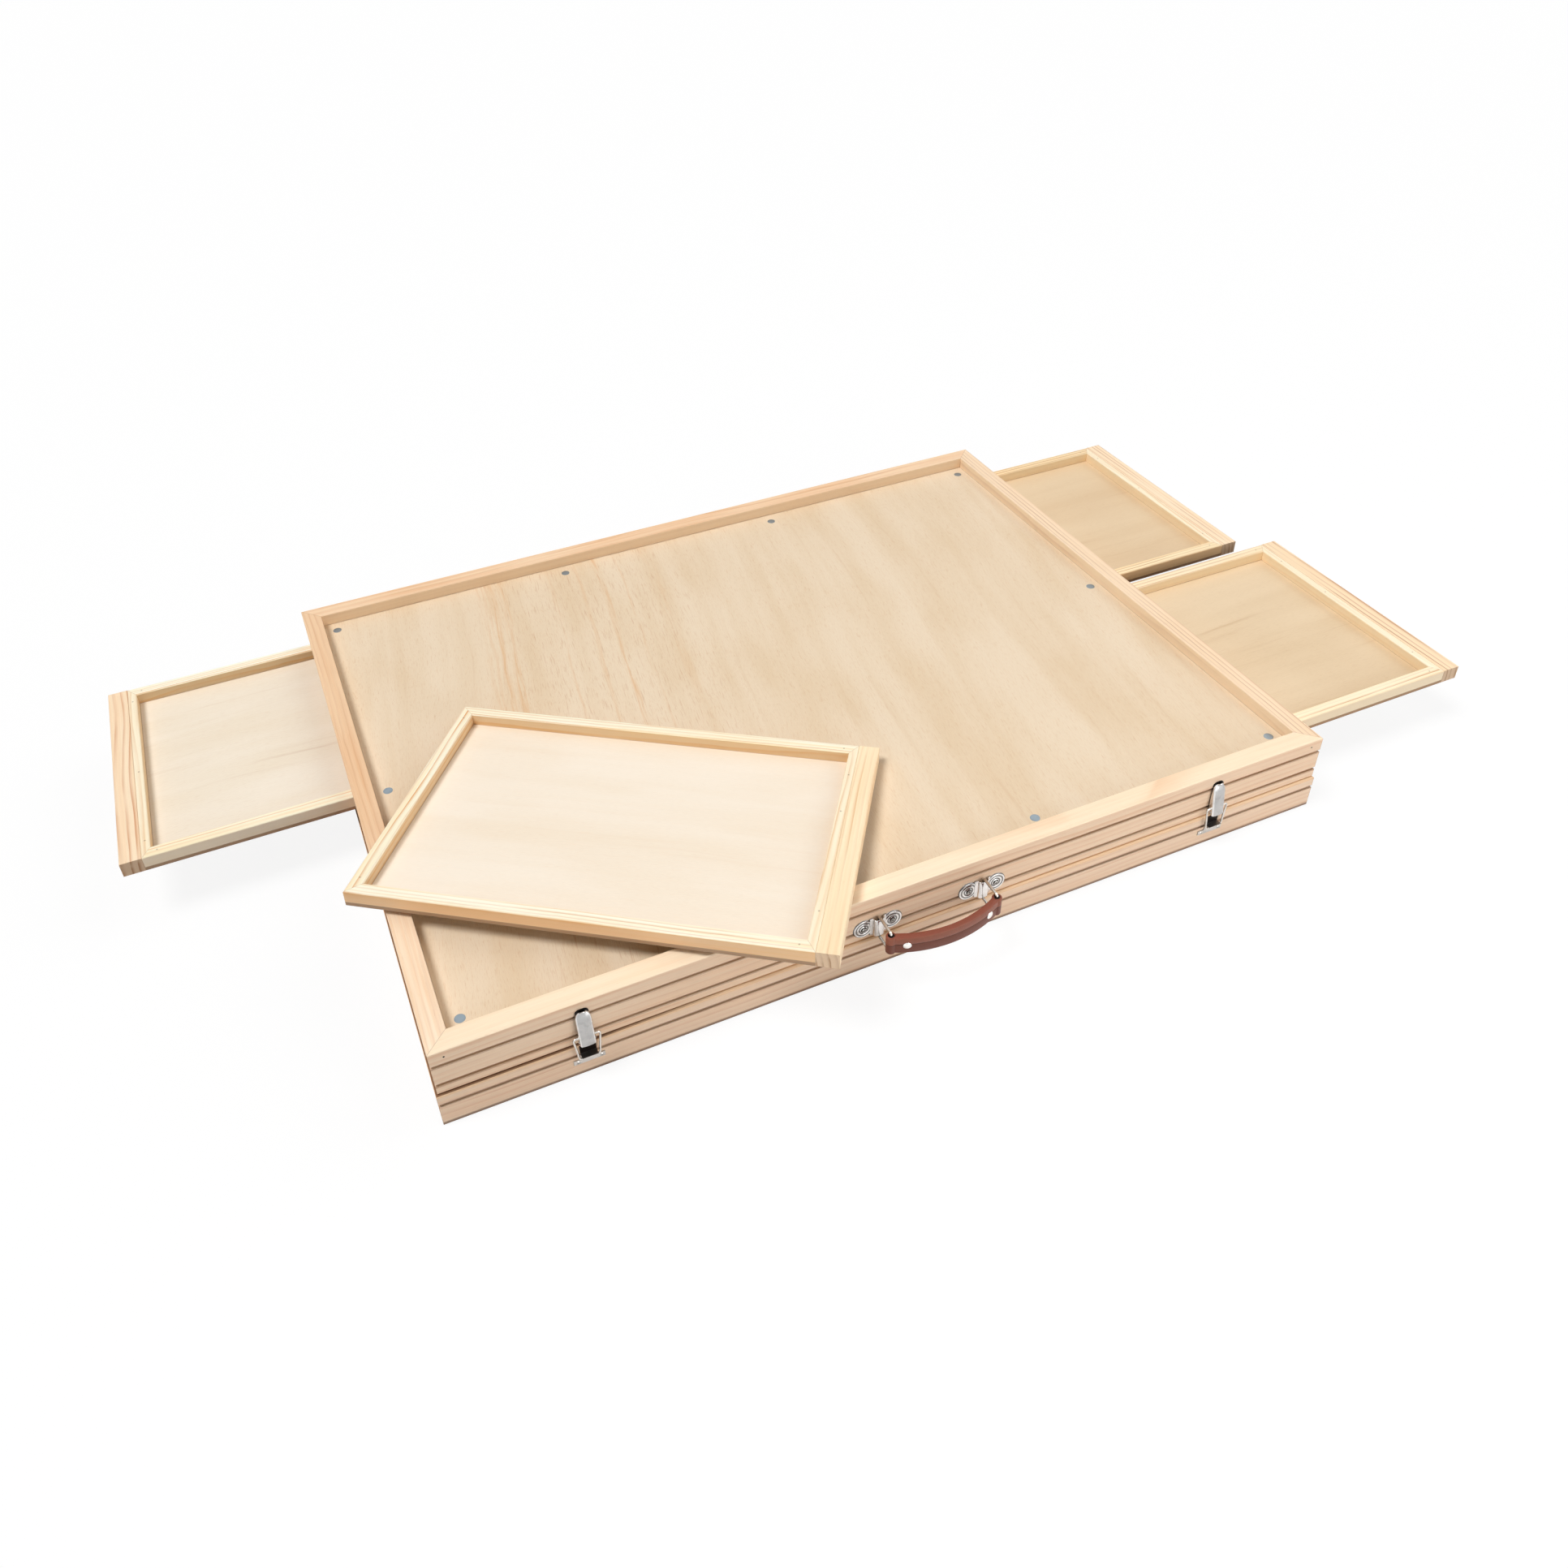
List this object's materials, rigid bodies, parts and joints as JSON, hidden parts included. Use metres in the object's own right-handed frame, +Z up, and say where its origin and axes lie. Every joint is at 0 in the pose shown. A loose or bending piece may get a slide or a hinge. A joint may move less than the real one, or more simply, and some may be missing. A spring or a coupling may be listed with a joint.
{
  "type": "jigsaw puzzle table with drawers",
  "caption": "Folding wooden case for jigsaw puzzles: a sunken work surface over slide-out sorting drawers, hinged to a shallow storage tray, with toggle latches and a leather carrying handle.",
  "frame": {"origin": "middle of the storage tray's underside, on the surface that the table rests on", "axes": "+X to the right along the long side, +Y from the handle side to the hinge side, +Z up"},
  "size_m": [1.2025, 0.6724, 0.0995],
  "materials": {
    "pine_board": "satin lacquered pine",
    "plywood_surface": "smooth sanded plywood",
    "plywood_inner": "plain plywood",
    "pine_inner": "plain pine",
    "drawer_rail": "satin pine",
    "drawer_face": "satin pine with visible grain",
    "drawer_panel": "pale plywood",
    "steel_disc": "brushed",
    "nickel": "bright nickel plate",
    "zinc": "zinc plate",
    "leather": "smooth reddish brown"
  },
  "bodies": {
    "tray": {"lower_front_board": "pine_board", "lower_back_board": "pine_board", "lower_left_board": "pine_board", "lower_right_board": "pine_board", "lower_bottom_panel": "plywood_inner", "catch_plate_left": "nickel", "catch_plate_right": "nickel", "hinge_lower_leaf_left": "zinc", "hinge_lower_leaf_right": "zinc", "lower_screws": "zinc"},
    "case": {"upper_front_board": "pine_board", "upper_back_board": "pine_board", "upper_left_end": "pine_board", "upper_right_end": "pine_board", "work_panel": "plywood_surface", "steel_discs": "steel_disc", "drawer_shelf": "plywood_inner", "centre_divider": "pine_inner", "front_drawer_guide": "pine_inner", "back_drawer_guide": "pine_inner", "drawer_stops": "pine_inner", "corner_brads": "zinc", "latch_base_left": "nickel", "latch_base_right": "nickel", "latch_pins": "nickel", "handle_bracket_left": "nickel", "handle_bracket_right": "nickel", "upper_screws": "zinc", "hinge_upper_leaf_left": "zinc", "hinge_upper_leaf_right": "zinc", "hinge_pins": "zinc"},
    "left_back_drawer": {"left_back_drawer_face": "drawer_face", "left_back_drawer_end_strip": "drawer_rail", "left_back_drawer_side_rails": "drawer_rail", "left_back_drawer_back_rail": "drawer_rail", "left_back_drawer_panel": "drawer_panel"},
    "right_back_drawer": {"right_back_drawer_face": "drawer_face", "right_back_drawer_end_strip": "drawer_rail", "right_back_drawer_side_rails": "drawer_rail", "right_back_drawer_back_rail": "drawer_rail", "right_back_drawer_panel": "drawer_panel"},
    "right_front_drawer": {"right_front_drawer_face": "drawer_face", "right_front_drawer_end_strip": "drawer_rail", "right_front_drawer_side_rails": "drawer_rail", "right_front_drawer_back_rail": "drawer_rail", "right_front_drawer_panel": "drawer_panel"},
    "loose_drawer": {"loose_drawer_face": "drawer_face", "loose_drawer_end_strip": "drawer_rail", "loose_drawer_side_rails": "drawer_rail", "loose_drawer_back_rail": "drawer_rail", "loose_drawer_panel": "drawer_panel"},
    "latch_lever_left": {"latch_lever_left": "nickel"},
    "latch_lever_right": {"latch_lever_right": "nickel"},
    "latch_loop_left": {"latch_loop_left": "nickel"},
    "latch_loop_right": {"latch_loop_right": "nickel"},
    "handle_ring_left": {"handle_ring_left": "nickel"},
    "handle_ring_right": {"handle_ring_right": "nickel"},
    "handle_strap": {"handle_strap": "leather", "strap_rivets": "nickel"}
  },
  "joints": [
    {"name": "case_open", "type": "hinge", "parent": "tray", "child": "case", "pos_m": [0, 0.3075, 0.03385], "axis": [-1, 0, 0], "range_deg": [0, 95]},
    {"name": "left_back_drawer_slide", "type": "slide", "parent": "case", "child": "left_back_drawer", "axis": [-1, 0, 0], "range_m": [-0.1955, 0.155]},
    {"name": "right_back_drawer_slide", "type": "slide", "parent": "case", "child": "right_back_drawer", "axis": [1, 0, 0], "range_m": [-0.169, 0.181]},
    {"name": "right_front_drawer_slide", "type": "slide", "parent": "case", "child": "right_front_drawer", "axis": [1, 0, 0], "range_m": [-0.207, 0.143]},
    {"name": "loose_drawer_lift", "type": "slide", "parent": "case", "child": "loose_drawer", "axis": [0, 0, 1], "range_m": [0, 0.25]},
    {"name": "latch_lever_left_swing", "type": "hinge", "parent": "case", "child": "latch_lever_left", "pos_m": [-0.2875, -0.3087, 0.0405], "axis": [1, 0, 0], "range_deg": [0, 100]},
    {"name": "latch_loop_left_swing", "type": "hinge", "parent": "latch_lever_left", "child": "latch_loop_left", "pos_m": [-0.2875, -0.3094, 0.046], "axis": [1, 0, 0], "range_deg": [-120, 0]},
    {"name": "latch_lever_right_swing", "type": "hinge", "parent": "case", "child": "latch_lever_right", "pos_m": [0.2875, -0.3087, 0.0405], "axis": [1, 0, 0], "range_deg": [0, 100]},
    {"name": "latch_loop_right_swing", "type": "hinge", "parent": "latch_lever_right", "child": "latch_loop_right", "pos_m": [0.2875, -0.3094, 0.046], "axis": [1, 0, 0], "range_deg": [-120, 0]},
    {"name": "handle_ring_left_swing", "type": "hinge", "parent": "case", "child": "handle_ring_left", "pos_m": [-0.043, -0.3068, 0.047], "axis": [0, 0, 1], "range_deg": [-50, 50]},
    {"name": "handle_ring_right_swing", "type": "hinge", "parent": "case", "child": "handle_ring_right", "pos_m": [0.053, -0.3068, 0.047], "axis": [0, 0, 1], "range_deg": [-50, 50]},
    {"name": "handle_strap_swing", "type": "hinge", "parent": "handle_ring_left", "child": "handle_strap", "pos_m": [-0.043, -0.3268, 0.047], "axis": [0, 0, 1], "range_deg": [-50, 50]}
  ],
  "couplings": [
    {"joint": "latch_loop_left_swing", "follows": "latch_lever_left_swing", "ratio": -1.2},
    {"joint": "latch_loop_right_swing", "follows": "latch_lever_right_swing", "ratio": -1.2},
    {"joint": "handle_ring_right_swing", "follows": "handle_ring_left_swing", "ratio": 1},
    {"joint": "handle_strap_swing", "follows": "handle_ring_left_swing", "ratio": -1}
  ]
}
